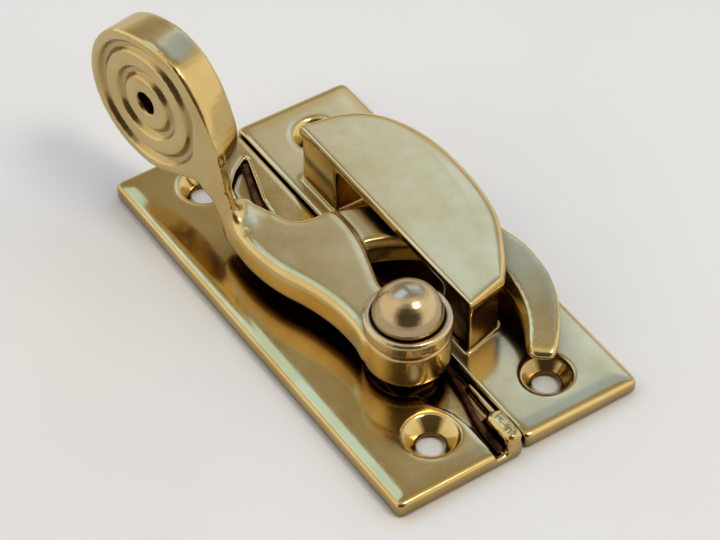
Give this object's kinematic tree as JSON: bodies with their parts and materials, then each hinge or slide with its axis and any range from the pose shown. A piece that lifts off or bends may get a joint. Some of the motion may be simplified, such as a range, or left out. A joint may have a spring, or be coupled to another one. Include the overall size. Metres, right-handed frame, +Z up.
{
  "type": "claw sash fastener",
  "caption": "Cast window fastener: a scroll-handled lever swings its curved claw under the half-round hood of a keeper plate to draw two sashes together.",
  "frame": {"origin": "middle of the lever plate's flat underside", "axes": "+Z up off the window rail, +Y along the meeting line towards the scroll handle, +X across the meeting line towards the keeper"},
  "size_m": [0.0385, 0.0759, 0.0321],
  "materials": {
    "plate_brass": "polished cast brass, aged",
    "keeper_brass": "polished cast brass, aged",
    "lever_brass": "polished cast brass, aged",
    "stud_brass": "turned and polished brass",
    "collar_brass": "turned brass, worn",
    "spring_strip": "hard rolled strip, tarnished"
  },
  "bodies": {
    "plates": {"lever_plate": "plate_brass", "keeper": "keeper_brass", "pivot_stud": "stud_brass", "stud_collar": "collar_brass", "leaf_spring": "spring_strip"},
    "lever": {"lever": "lever_brass"}
  },
  "joints": [
    {"name": "lever_pivot", "type": "hinge", "parent": "plates", "child": "lever", "pos_m": [0.0046, -0.0158, 0.005], "axis": [0, 0, 1], "range_deg": [0, 120]}
  ]
}
